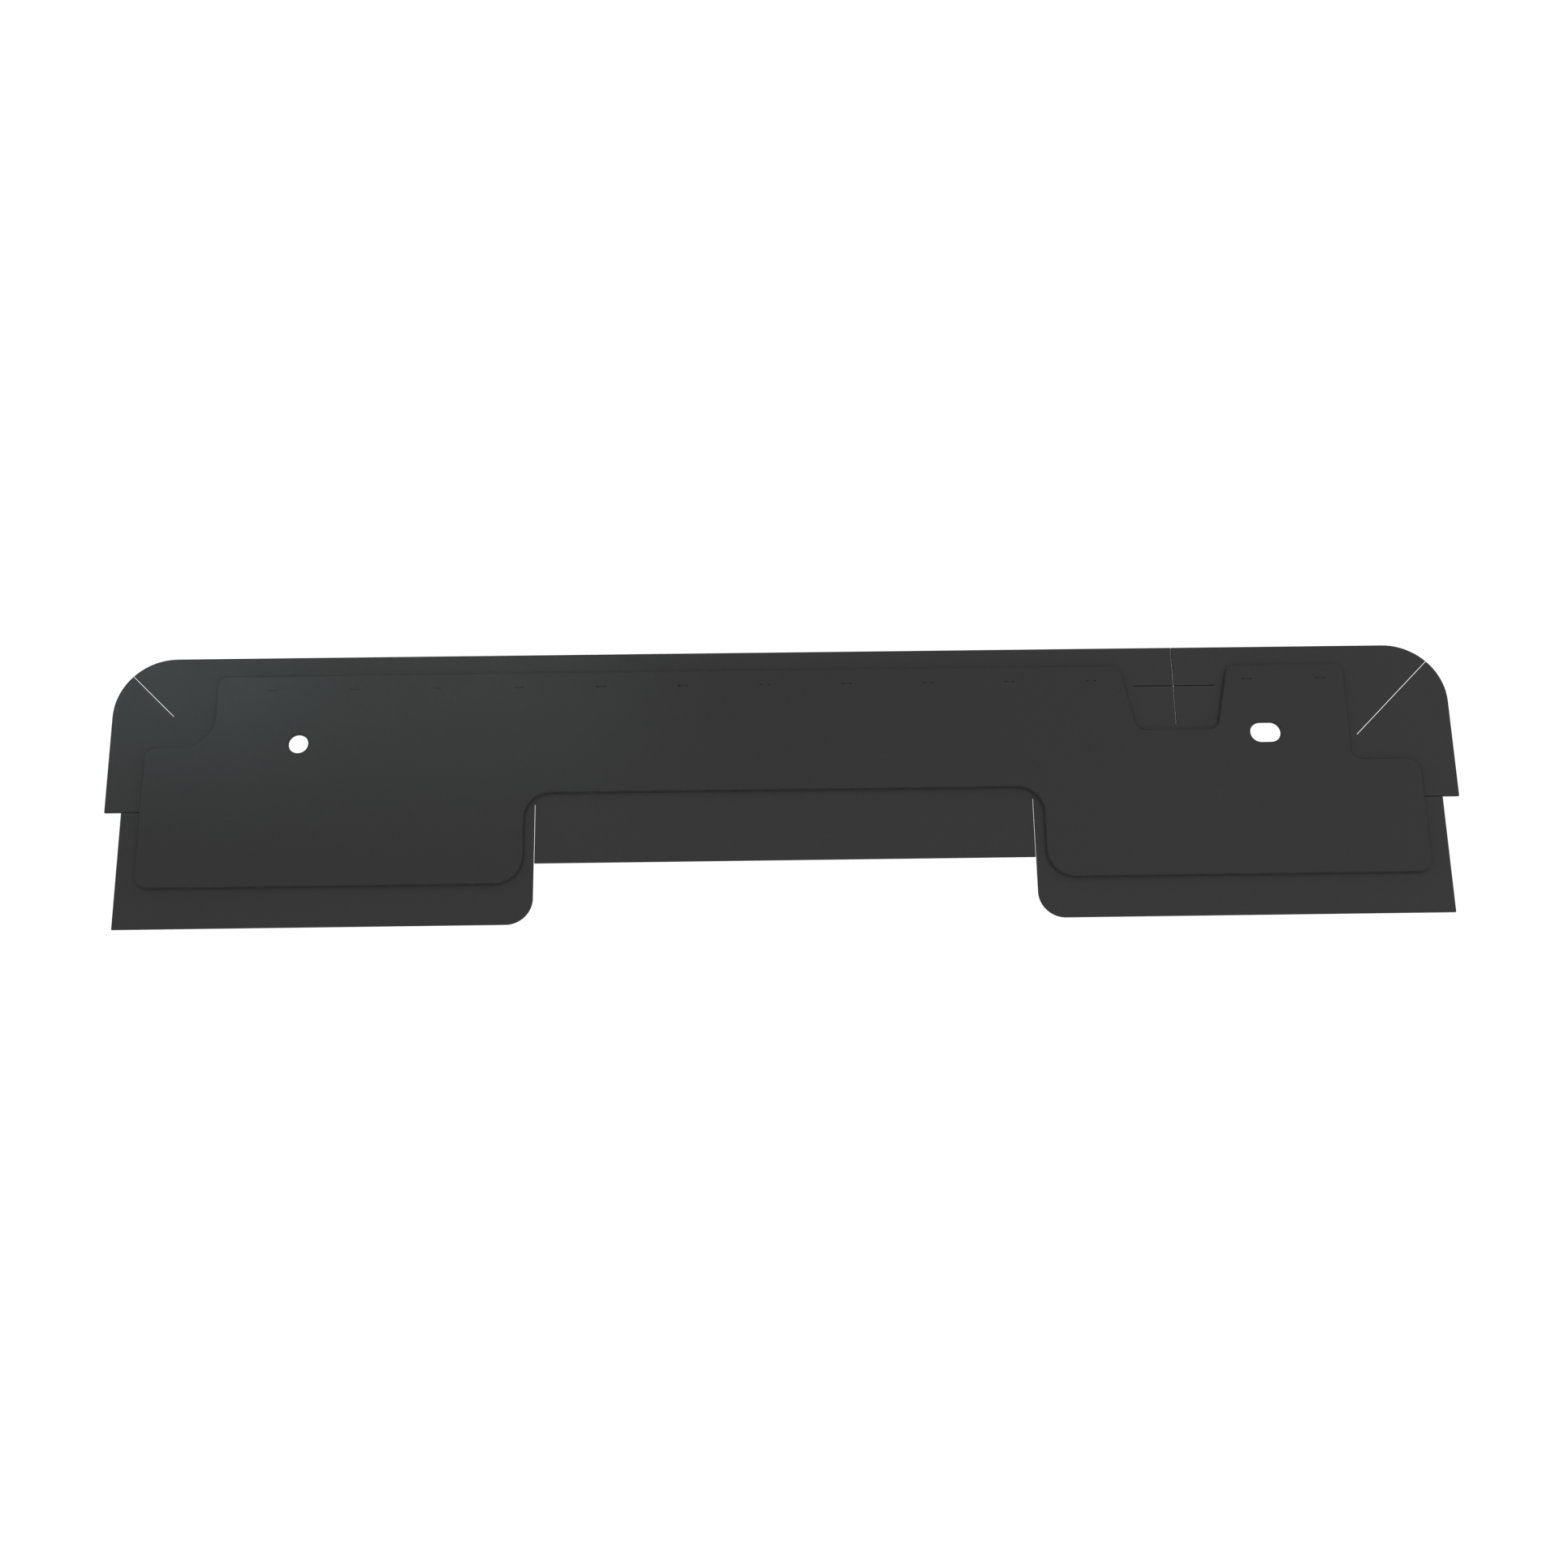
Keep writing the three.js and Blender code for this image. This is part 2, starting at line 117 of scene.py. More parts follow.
def area(loop):
    a = np.array(loop)
    b = np.roll(a, -1, 0)
    return float((a[:, 0] * b[:, 1] - b[:, 0] * a[:, 1]).sum() / 2)


def inset(loop, d):
    """The loop moved by d to its left: inwards for an outline drawn counter-clockwise, outwards for a hole drawn clockwise."""
    a = np.array(loop, float)
    before, after = np.roll(a, 1, 0), np.roll(a, -1, 0)
    u = (a - before) / np.linalg.norm(a - before, axis=1)[:, None]
    v = (after - a) / np.linalg.norm(after - a, axis=1)[:, None]
    nu, nv = np.c_[-u[:, 1], u[:, 0]], np.c_[-v[:, 1], v[:, 0]]
    m = nu + nv
    m = m / (1 + (nu * nv).sum(1))[:, None]
    return a + m * d


def inside(points, loop):
    x, z = points[:, 0], points[:, 1]
    a = np.array(loop, float)
    b = np.roll(a, -1, 0)
    odd = np.zeros(len(points), bool)
    for (x0, z0), (x1, z1) in zip(a, b):
        hit = (z0 > z) != (z1 > z)
        with np.errstate(divide="ignore", invalid="ignore"):
            cut = x0 + (z - z0) * (x1 - x0) / (z1 - z0)
        odd ^= hit & (x < cut)
    return odd


def fill(loops):
    """Triangles, as indices into the loops' points in order, of the first loop without the others."""
    pts, edges, start = [], [], 0
    for loop in loops:
        n = len(loop)
        pts += [Vector((float(x), float(z))) for x, z in loop]
        edges += [(start + i, start + (i + 1) % n) for i in range(n)]
        start += n
    verts, _, faces, came_from, _, _ = delaunay_2d_cdt(pts, edges, [], 0, 1e-6)
    if len(verts) != len(pts):
        raise RuntimeError("an outline crosses itself")
    back = [o[0] for o in came_from]
    tris = np.array([[back[i] for i in f] for f in faces])
    xy = np.array([(p.x, p.y) for p in pts])
    mid = xy[tris].mean(1)
    keep = inside(mid, loops[0])
    for hole in loops[1:]:
        keep &= ~inside(mid, hole)
    return tris[keep]


def slab(outer, holes, y_front, y_back, r_front, r_back, rings=3):
    """A closed flat solid with rounded front and back edges, in a new bmesh, in mm."""
    if area(outer) < 0:
        outer = outer[::-1]
    holes = [h[::-1] if area(h) > 0 else h for h in holes]
    loops = [outer] + holes
    levels = []
    for k in range(rings + 1 if r_front else 1):
        f = math.pi / 2 * k / rings
        levels.append((r_front * (1 - math.sin(f)), y_front + r_front * (1 - math.cos(f))))
    for k in range(rings + 1 if r_back else 1):
        f = math.pi / 2 * (1 - k / rings)
        levels.append((r_back * (1 - math.sin(f)), y_back - r_back * (1 - math.cos(f))))
    bm = bmesh.new()
    rows = []
    for d, y in levels:
        row = []
        for loop in loops:
            row.append([bm.verts.new((x, y, z)) for x, z in inset(loop, d)])
        rows.append(row)
    for a, b in zip(rows, rows[1:]):
        for la, lb in zip(a, b):
            n = len(la)
            for i in range(n):
                j = (i + 1) % n
                bm.faces.new((la[i], lb[i], lb[j], la[j]))
    for row, flip in ((rows[0], False), (rows[-1], True)):
        flat = [v for loop in row for v in loop]
        tris = fill([[(v.co.x, v.co.z) for v in loop] for loop in row])
        for t in tris:
            f = [flat[i] for i in t]
            bm.faces.new(f[::-1] if flip else f)
    bmesh.ops.recalc_face_normals(bm, faces=bm.faces)
    return bm


def prism(points, y0, y1):
    bm = bmesh.new()
    a = [bm.verts.new((x, y0, z)) for x, z in points]
    b = [bm.verts.new((x, y1, z)) for x, z in points]
    bm.faces.new(a)
    bm.faces.new(b[::-1])
    for i in range(len(points)):
        j = (i + 1) % len(points)
        bm.faces.new((a[i], b[i], b[j], a[j]))
    bmesh.ops.recalc_face_normals(bm, faces=bm.faces)
    return bm


def bar_z(profile, z0, z1):
    """A prism along Z of a profile in the X-Y plane."""
    bm = bmesh.new()
    a = [bm.verts.new((x, y, z0)) for x, y in profile]
    b = [bm.verts.new((x, y, z1)) for x, y in profile]
    bm.faces.new(a)
    bm.faces.new(b[::-1])
    for i in range(len(profile)):
        j = (i + 1) % len(profile)
        bm.faces.new((a[i], b[i], b[j], a[j]))
    bmesh.ops.recalc_face_normals(bm, faces=bm.faces)
    return bm


def link(bm, name):
    mesh = bpy.data.meshes.new(name)
    bm.to_mesh(mesh)
    bm.free()
    o = bpy.data.objects.new(name, mesh)
    scene.collection.objects.link(o)
    return o


def drop(o):
    mesh = o.data
    bpy.data.objects.remove(o)
    bpy.data.meshes.remove(mesh)


def join(bms):
    out = bmesh.new()
    for bm in bms:
        mesh = bpy.data.meshes.new("tmp")
        bm.to_mesh(mesh)
        bm.free()
        out.from_mesh(mesh)
        bpy.data.meshes.remove(mesh)
    return out


def copy_of(o, name):
    c = bpy.data.objects.new(name, o.data.copy())
    scene.collection.objects.link(c)
    return c


def open_edges(mesh):
    bm = bmesh.new()
    bm.from_mesh(mesh)
    n = sum(1 for e in bm.edges if len(e.link_faces) != 2)
    bm.free()
    return n


def boolean(target, cutter, operation):
    """target gets the result of the operation with cutter, which is then removed."""
    for solver in ("MANIFOLD", "EXACT"):
        m = target.modifiers.new("cut", "BOOLEAN")
        m.operation, m.object, m.solver = operation, cutter, solver
        dg = bpy.context.evaluated_depsgraph_get()
        dg.update()
        made = bpy.data.meshes.new_from_object(target.evaluated_get(dg))
        target.modifiers.clear()
        if len(made.polygons) and open_edges(made) == 0:
            break
        bpy.data.meshes.remove(made)
    else:
        raise RuntimeError(f"the cut in {target.name} did not close")
    old = target.data
    target.data = made
    bpy.data.meshes.remove(old)
    drop(cutter)
    return target


# --------------------------------------------------------------- materials
class Nodes:
    def __init__(self, name):
        self.mat = bpy.data.materials.new(name)
        self.mat.use_nodes = True
        self.t = self.mat.node_tree
        self.t.nodes.clear()
        self.out = self.t.nodes.new("ShaderNodeOutputMaterial")
        self.bsdf = self.t.nodes.new("ShaderNodeBsdfPrincipled")
        self.t.links.new(self.bsdf.outputs[0], self.out.inputs["Surface"])
        self.coord = self.t.nodes.new("ShaderNodeTexCoord").outputs["Object"]

    def link(self, a, b):
        self.t.links.new(a, b)

    def noise(self, scale, detail=3.0, rough=0.55, stretch=None, offset=(0, 0, 0)):
        n = self.t.nodes.new("ShaderNodeTexNoise")
        n.inputs["Scale"].default_value = scale
        n.inputs["Detail"].default_value = detail
        n.inputs["Roughness"].default_value = rough
        m = self.t.nodes.new("ShaderNodeMapping")
        m.inputs["Location"].default_value = offset
        m.inputs["Scale"].default_value = stretch or (1, 1, 1)
        self.link(self.coord, m.inputs["Vector"])
        self.link(m.outputs[0], n.inputs["Vector"])
        return n.outputs["Fac"]

    def cells(self, scale, feature="F1", offset=(0, 0, 0)):
        v = self.t.nodes.new("ShaderNodeTexVoronoi")
        v.feature = feature
        v.inputs["Scale"].default_value = scale
        m = self.t.nodes.new("ShaderNodeMapping")
        m.inputs["Location"].default_value = offset
        self.link(self.coord, m.inputs["Vector"])
        self.link(m.outputs[0], v.inputs["Vector"])
        return v.outputs["Distance"]

    def span(self, value, lo, hi, out_lo, out_hi, smooth=False):
        """value between lo and hi becomes out_lo to out_hi."""
        r = self.t.nodes.new("ShaderNodeMapRange")
        r.interpolation_type = "SMOOTHSTEP" if smooth else "LINEAR"
        for key, v in (("From Min", lo), ("From Max", hi), ("To Min", out_lo), ("To Max", out_hi)):
            r.inputs[key].default_value = v
        self.link(value, r.inputs["Value"])
        return r.outputs["Result"]

    def math(self, op, a, b=None):
        m = self.t.nodes.new("ShaderNodeMath")
        m.operation = op
        for i, v in enumerate((a, b)):
            if v is None:
                continue
            if isinstance(v, (int, float)):
                m.inputs[i].default_value = v
            else:
                self.link(v, m.inputs[i])
        return m.outputs[0]

    def mix(self, factor, a, b, blend="MIX"):
        m = self.t.nodes.new("ShaderNodeMix")
        m.data_type, m.blend_type = "RGBA", blend
        for key, v in ((0, factor), (6, a), (7, b)):
            if isinstance(v, (int, float)):
                m.inputs[key].default_value = v
            elif isinstance(v, tuple):
                m.inputs[key].default_value = (*v, 1.0) if len(v) == 3 else v
            else:
                self.link(v, m.inputs[key])
        return m.outputs[2]

    def bump(self, height, distance, strength=1.0, normal=None):
        b = self.t.nodes.new("ShaderNodeBump")
        b.inputs["Distance"].default_value = distance
        b.inputs["Strength"].default_value = strength
        self.link(height, b.inputs["Height"])
        if normal is not None:
            self.link(normal, b.inputs["Normal"])
        return b.outputs[0]

    def finish(self, colour, roughness, normal, **values):
        self.link(colour, self.bsdf.inputs["Base Color"])
        self.link(roughness, self.bsdf.inputs["Roughness"])
        self.link(normal, self.bsdf.inputs["Normal"])
        for key, v in values.items():
            self.bsdf.inputs[key.replace("_", " ")].default_value = v
        return self.mat


def grey(v, tint=(1.0, 1.0, 1.0)):
    return tuple(v * t for t in tint)


def rubber_skin():
    """The calendered face of the rubber sheet: matt, with a very fine grain, faint rolling streaks and a little bloom."""
    n = Nodes("rubber_skin")
    cloud = n.noise(7.0, 4.0, 0.5, offset=(0.3, 0, 0.1))
    streak = n.noise(60.0, 2.0, 0.5, stretch=(0.05, 1, 1))
    fine = n.noise(2600.0, 2.0, 0.6)
    speck = n.noise(420.0, 3.0, 0.65, offset=(2.1, 0, 0.7))
    c = n.mix(n.span(cloud, 0.3, 0.7, 0, 1), grey(0.0306), grey(0.0334))
    c = n.mix(n.span(streak, 0.35, 0.65, 0.0, 0.35), c, grey(0.0342))
    c = n.mix(n.span(fine, 0.35, 0.7, 0.0, 0.35), c, grey(0.0372))
    c = n.mix(n.span(speck, 0.66, 0.78, 0.0, 0.30), c, grey(0.046))
    rough = n.math("ADD", n.span(cloud, 0.3, 0.7, 0.46, 0.52), n.span(speck, 0.3, 0.7, 0.0, 0.06))
    normal = n.bump(fine, 0.00003, 0.5)
    normal = n.bump(speck, 0.00005, 0.35, normal)
    return n.finish(c, rough, normal, IOR=1.5)


def rubber_cut():
    """The die-cut edge of the sheet: paler and rougher than its face, with fine drag lines from the blade."""
    n = Nodes("rubber_cut_edge")
    drag = n.noise(900.0, 2.0, 0.6, stretch=(1, 0.12, 1))
    grit = n.noise(1900.0, 3.0, 0.6)
    c = n.mix(n.span(drag, 0.3, 0.7, 0, 1), grey(0.030), grey(0.042))
    c = n.mix(n.span(grit, 0.5, 0.75, 0.0, 0.4), c, grey(0.052))
    rough = n.span(grit, 0.3, 0.7, 0.62, 0.78)
    normal = n.bump(n.math("ADD", drag, n.math("MULTIPLY", grit, 0.5)), 0.00006, 0.5)
    return n.finish(c, rough, normal, IOR=1.5, Specular_IOR_Level=0.25)


def rubber_slit():
    """Inside of a knife slit: the same rubber, cut and dull, painted darker than the outer cut edge as painted shade
    inside the narrow slit.
    """
    n = Nodes("rubber_slit_wall_painted_shade")
    drag = n.noise(1200.0, 2.0, 0.6, stretch=(1, 0.15, 1), offset=(0.5, 0, 0.2))
    # painted shade: these slit-wall colours sit below the cut edge's 0.030-0.042 to stand in for shade inside the slit
    c = n.mix(n.span(drag, 0.3, 0.7, 0, 1), grey(0.0265), grey(0.0315))
    return n.finish(c, n.span(drag, 0.3, 0.7, 0.85, 0.95), n.bump(drag, 0.00004, 0.5), IOR=1.5, Specular_IOR_Level=0.42)


def plate_skin():
    """Moulded face of the rigid plate: spark-eroded grain, faint flow variation, a few fine scuffs."""
    n = Nodes("plate_moulded")
    flow = n.noise(5.0, 3.0, 0.5, stretch=(0.6, 1, 1.6), offset=(1.7, 0, 0.4))
    grain = n.cells(1500.0)
    fine = n.noise(1100.0, 3.0, 0.6, offset=(0.6, 0, 0.2))
    rub = n.noise(38.0, 5.0, 0.7, stretch=(0.25, 1, 1.4), offset=(0.2, 0, 3.1))
    c = n.mix(n.span(flow, 0.3, 0.7, 0, 1), grey(0.0268), grey(0.0292))
    c = n.mix(n.span(grain, 0.1, 0.7, 0.0, 0.4), c, grey(0.0322))
    c = n.mix(n.span(rub, 0.64, 0.80, 0.0, 0.35), c, grey(0.042))
    rough = n.math("SUBTRACT", n.span(flow, 0.3, 0.7, 0.46, 0.52), n.span(rub, 0.60, 0.80, 0.0, 0.05))
    normal = n.bump(grain, 0.00003, 0.4)
    normal = n.bump(fine, 0.00002, 0.4, normal)
    return n.finish(c, rough, normal, IOR=1.5)


def plate_edge():
    """Rounded rim of the plate, a little polished by handling, and its walls below, painted paler than the face as
    painted light on walls that sit in shade.
    """
    n = Nodes("plate_rim_and_painted_light_walls")
    wear = n.noise(160.0, 4.0, 0.65, offset=(0.9, 0.2, 0.5))
    fine = n.noise(1500.0, 2.0, 0.6)
    place = n.t.nodes.new("ShaderNodeSeparateXYZ")
    n.link(n.coord, place.inputs[0])
    # painted light: faces more than about 0.5 mm behind the front (the plate's walls) get a colour about twice the
    # face's, standing in for light on walls in shade
    painted_light_walls = n.span(place.outputs["Y"], -0.0031, -0.0026, 0, 1, smooth=True)
    patch = n.span(wear, 0.45, 0.75, 0, 1)
    c = n.mix(painted_light_walls, n.mix(patch, grey(0.0255), grey(0.031)), n.mix(patch, grey(0.052), grey(0.070)))
    c = n.mix(n.span(fine, 0.4, 0.7, 0.0, 0.3), c, grey(0.045))
    rough = n.span(wear, 0.3, 0.8, 0.54, 0.40)
    normal = n.bump(fine, 0.00002, 0.35)
    return n.finish(c, rough, normal, IOR=1.5, Specular_IOR_Level=0.4)


def plate_bore():
    """Inside of the plate's fixing holes: as moulded, never rubbed, a little dusty."""
    n = Nodes("plate_bore_wall")
    fine = n.noise(1500.0, 2.0, 0.6, offset=(0.3, 0.1, 0.8))
    dust = n.noise(260.0, 3.0, 0.6, offset=(1.1, 0, 0.3))
    c = n.mix(n.span(fine, 0.3, 0.7, 0, 1), grey(0.029), grey(0.036))
    c = n.mix(n.span(dust, 0.55, 0.75, 0.0, 0.3), c, grey(0.046))
    return n.finish(c, n.span(dust, 0.3, 0.7, 0.66, 0.80), n.bump(fine, 0.00002, 0.35), IOR=1.5, Specular_IOR_Level=0.4)


def wire_coat():
    """Black-coated staple wire, rubbed to bare metal in a few places."""
    n = Nodes("staple_wire_coat")
    draw = n.noise(700.0, 2.0, 0.5, stretch=(0.15, 1, 1))
    rub = n.noise(520.0, 4.0, 0.7, offset=(0.4, 0, 1.2))
    bare = n.span(rub, 0.62, 0.76, 0.0, 1.0, smooth=True)
    c = n.mix(n.span(draw, 0.3, 0.7, 0, 1), grey(0.034), grey(0.045))
    c = n.mix(bare, c, grey(0.085, (1.0, 0.98, 0.95)))
    rough = n.span(rub, 0.4, 0.76, 0.48, 0.34)
    n.link(n.span(bare, 0, 1, 0.25, 0.75), n.bsdf.inputs["Metallic"])
    normal = n.bump(draw, 0.00001, 0.4)
    return n.finish(c, rough, normal)


RUBBER, CUT, SHADED_SLIT_WALL = rubber_skin(), rubber_cut(), rubber_slit()
PLATE, RIM_WITH_PAINTED_LIGHT_WALLS, BORE, WIRE_MAT = plate_skin(), plate_edge(), plate_bore(), wire_coat()


def near_slit(x, z):
    """True on the wall of a knife slit: drawing coordinates in mm."""
    ax, far = abs(x), 0.35
    if ax < 292.3 and ax > 284.2 and abs(z - (WING_BOTTOM - SLIT / 2)) < far:
        return True
    if abs(ax - (GAP_X - SLIT / 2)) < far and FLAP_BOTTOM + 0.05 < z < FLAP_SLIT_TOP + 0.1:
        return True
    if abs(x - CROSS_X) < far and z > CROSS_Z - CROSS_HALF - 0.1:
        return True
    if abs(z - CROSS_Z) < far and abs(x - CROSS_X) < CROSS_HALF + 0.1:
        return True
    return abs(ax - ARC_X - (z - ARC_Z)) < 2 * far and (z > ARC_Z - 0.4 or x > 0 and z > ARC_Z - RIGHT_RUN - 0.4) \
        and math.hypot(ax - ARC_X, z - ARC_Z) < CORNER_R - 0.02


def near_bore(x, z):
    """True on the wall of a fixing hole."""
    return abs(z) < SLOT_W / 2 + 0.05 and abs(abs(x) - FIX_X) < SLOT_L / 2 + 0.05


def finish_mesh(o, face_material, edge_material, body=None, smooth=50.0, inner_material=None, is_inner=None):
    """Merges doubles, marks sharp edges, gives walls their own material, and turns mm into metres."""
    o.data.materials.clear()         # clearing resets the faces' material numbers, so it comes first
    bm = bmesh.new()
    bm.from_mesh(o.data)
    bmesh.ops.remove_doubles(bm, verts=bm.verts, dist=1e-4)
    bmesh.ops.dissolve_degenerate(bm, edges=bm.edges, dist=1e-4)
    bmesh.ops.recalc_face_normals(bm, faces=bm.faces)
    for f in bm.faces:
        f.smooth = True
        f.material_index = 0 if abs(f.normal.y) > 0.995 else 1
        if inner_material and f.material_index == 1:
            c = f.calc_center_median()
            if is_inner(c.x, c.z):
                f.material_index = 2
    for e in bm.edges:
        if len(e.link_faces) != 2:
            e.smooth = False
            continue
        a, b = e.link_faces
        flat = (abs(a.normal.y) > 0.9999) != (abs(b.normal.y) > 0.9999)
        e.smooth = not flat and math.degrees(a.normal.angle(b.normal, 0.0)) < smooth
    bmesh.ops.scale(bm, vec=(MM, MM, MM), verts=bm.verts)
    bm.to_mesh(o.data)
    bm.free()
    o.data.materials.append(face_material)
    o.data.materials.append(edge_material)
    if inner_material:
        o.data.materials.append(inner_material)
    if body:
        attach(o, body)
    return o


# ------------------------------------------------------------------- apron
def sheet_outline():
    h = CORNER_SLIT / 2
    along = math.sqrt(CORNER_R ** 2 - h ** 2)
    dip = math.degrees(math.asin(h / CORNER_R))
    s = CROSS_SLIT / 2
    inner = -RIGHT_RUN * math.sqrt(2)
    pts = [(-LOBE_X, SHEET_BOTTOM)]
    pts += arc(-GAP_X - LOBE_R, SHEET_BOTTOM + LOBE_R, LOBE_R, -90, 0)
    pts += [(-GAP_X, FLAP_SLIT_TOP), (-FLAP_X, FLAP_SLIT_TOP), (-FLAP_X, FLAP_BOTTOM),
            (FLAP_X, FLAP_BOTTOM), (FLAP_X, FLAP_SLIT_TOP), (GAP_X, FLAP_SLIT_TOP)]
    pts += arc(GAP_X + LOBE_R, SHEET_BOTTOM + LOBE_R, LOBE_R, 180, 270)
    pts += [(LOBE_X, SHEET_BOTTOM), (LOBE_X, WING_BOTTOM - SLIT), (SIDE_SLIT_END, WING_BOTTOM - SLIT),
            (SIDE_SLIT_END, WING_BOTTOM), (WING_X, WING_BOTTOM)]
    # right corner with its slit
    pts += arc(ARC_X, ARC_Z, CORNER_R, 0, 45 - dip)
    pts += [(ARC_X + inner * Q + h * Q, ARC_Z + inner * Q - h * Q),
            (ARC_X + inner * Q - h * Q, ARC_Z + inner * Q + h * Q)]
    pts += arc(ARC_X, ARC_Z, CORNER_R, 45 + dip, 90)
    # crossed slits
    x0, x1, z0, z1 = CROSS_X - s, CROSS_X + s, CROSS_Z - s, CROSS_Z + s
    pts += [(x1, SHEET_TOP), (x1, z1), (CROSS_X + CROSS_HALF, z1), (CROSS_X + CROSS_HALF, z0), (x1, z0),
            (x1, CROSS_Z - CROSS_HALF), (x0, CROSS_Z - CROSS_HALF), (x0, z0), (CROSS_X - CROSS_HALF, z0),
            (CROSS_X - CROSS_HALF, z1), (x0, z1), (x0, SHEET_TOP)]
    # left corner with its slit
    pts += arc(-ARC_X, ARC_Z, CORNER_R, 90, 135 - dip)
    pts += [(-ARC_X + h * Q, ARC_Z + h * Q), (-ARC_X - h * Q, ARC_Z - h * Q)]
    pts += arc(-ARC_X, ARC_Z, CORNER_R, 135 + dip, 180)
    pts += [(-WING_X, WING_BOTTOM), (-SIDE_SLIT_END, WING_BOTTOM), (-SIDE_SLIT_END, WING_BOTTOM - SLIT),
            (-LOBE_X, WING_BOTTOM - SLIT)]
    return pts


rubber_holes = [
    stadium(-FIX_X, 0, HOLE_D + 2 * RUBBER_ROOM, HOLE_D + 2 * RUBBER_ROOM),
    stadium(FIX_X, 0, SLOT_L + 2 * RUBBER_ROOM, SLOT_W + 2 * RUBBER_ROOM),
]
sheet = link(slab(sheet_outline(), rubber_holes, -SHEET_T, 0.0, 0.1, 0.1, rings=2), "sheet")

# Each lip is a piece of its own that starts a little behind its fold line and is sliced into strips across the zone
# where it would bend;
# nothing here attaches it to a body or bends it.
BEHIND = 1.0        # the lip pieces start this far behind the fold line
START = -0.6        # the bend begins here
ON_SLIT = ARC_Z - ARC_X
LOWER_FOLD = CROSS_HALF - FOLD_ROOM * math.sqrt(2)
RISE, RUN = 7.8, 16.4
UPPER_LEN = math.hypot(RISE, RUN)
UX = CROSS_X - CROSS_HALF + FOLD_ROOM * UPPER_LEN / RISE
UN = (RISE / UPPER_LEN, -RUN / UPPER_LEN)
FAR = 60.0


def flip(points, about=0.0):
    return [(2 * about - x, z) for x, z in points][::-1]


def top_left(a):
    z = TOP_FOLD - a
    return [(ON_SLIT - z, z), (CROSS_X, z), (CROSS_X, FAR), (ON_SLIT - FAR, FAR)]


def top_right(a):
    z = TOP_FOLD - a
    return [(CROSS_X, z), (z - ON_SLIT, z), (FAR - ON_SLIT, FAR), (CROSS_X, FAR)]


def side_left(a):
    x, zs = -SIDE_FOLD + a, WING_BOTTOM - SLIT / 2
    return [(-330, zs), (x, zs), (x, ON_SLIT - x), (ON_SLIT - FAR, FAR), (-330, FAR)]


def bottom_left(a):
    z = BOTTOM_FOLD + a
    return [(-320, z), (-320, -100), (-90, -100), (-90, z)]


def flap(a):
    z, x = FLAP_FOLD + a, GAP_X - SLIT / 2
    return [(-x, z), (-x, -70), (x, -70), (x, z)]


def lower_petal(a):
    e = LOWER_FOLD + a * math.sqrt(2)
    return [(CROSS_X - e, CROSS_Z), (CROSS_X, CROSS_Z - e), (CROSS_X, CROSS_Z)]


def upper_petal(a):
    x0 = UX - a * UPPER_LEN / RISE
    return [(x0, CROSS_Z), (CROSS_X, CROSS_Z), (CROSS_X, CROSS_Z + (CROSS_X - x0) * RISE / RUN)]


MID = LOWER_FOLD / 2
# body, a point of its fold line, the direction into the lip, where the bend ends, region
LIPS = [
    ("top_lip_left", (-57, TOP_FOLD), (0, 1), 4.2, top_left),
    ("top_lip_right", (235, TOP_FOLD), (0, 1), 4.2, top_right),
    ("side_lip_left", (-SIDE_FOLD, 0), (-1, 0), 4.6, side_left),
    ("side_lip_right", (SIDE_FOLD, 0), (1, 0), 4.6, lambda a: flip(side_left(a))),
    ("bottom_lip_left", (-200, BOTTOM_FOLD), (0, -1), 5.0, bottom_left),
    ("bottom_lip_right", (200, BOTTOM_FOLD), (0, -1), 5.0, lambda a: flip(bottom_left(a))),
    ("centre_flap", (0, FLAP_FOLD), (0, -1), 5.0, flap),
    ("petal_lower_left", (CROSS_X - MID, CROSS_Z - MID), (Q, Q), 4.0, lower_petal),
    ("petal_lower_right", (CROSS_X + MID, CROSS_Z - MID), (-Q, Q), 4.0, lambda a: flip(lower_petal(a), CROSS_X)),
    ("petal_upper_left", (UX, CROSS_Z), UN, 3.4, upper_petal),
    ("petal_upper_right", (2 * CROSS_X - UX, CROSS_Z), (-UN[0], UN[1]), 3.4, lambda a: flip(upper_petal(a), CROSS_X)),
]

core = copy_of(sheet, "apron_sheet")
for body, p, n, bend, region in LIPS:
    lip = copy_of(sheet, "apron_" + body)
    boolean(lip, link(prism(region(BEHIND), -4.0, 3.0), "cutter"), "INTERSECT")
    boolean(core, link(prism(region(BEHIND), -4.0, 3.0), "cutter"), "DIFFERENCE")
    bm = bmesh.new()
    bm.from_mesh(lip.data)
    normal = Vector((n[0], 0, n[1]))
    steps = 14
    for k in range(steps + 1):
        d = START + (bend - START) * k / steps
        at = Vector((p[0], 0, p[1])) + normal * d
        bmesh.ops.bisect_plane(bm, geom=bm.verts[:] + bm.edges[:] + bm.faces[:], dist=1e-5, plane_co=at, plane_no=normal)
    bm.to_mesh(lip.data)
    bm.free()
    finish_mesh(lip, RUBBER, CUT, inner_material=SHADED_SLIT_WALL, is_inner=near_slit)
    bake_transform(lip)
    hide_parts(body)

# back grooves where the staples are clinched
half, leg = CROWN / 2 + 0.1, CROWN / 2 - WIRE - 0.1
pockets = []
for sx in STAPLE_X:
    pockets.append(bar_z([(sx - half, -4), (sx - leg, -4), (sx - leg, -0.65), (sx + leg, -0.65), (sx + leg, -4),
                          (sx + half, -4), (sx + half, 2), (sx - half, 2)],
                         STAPLE_Z - WIRE / 2 - 0.1, STAPLE_Z + WIRE / 2 + 0.1))
boolean(core, link(join(pockets), "cutter"), "DIFFERENCE")
finish_mesh(core, RUBBER, CUT, "mounted_panel", inner_material=SHADED_SLIT_WALL, is_inner=near_slit)
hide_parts("apron_core")
drop(sheet)

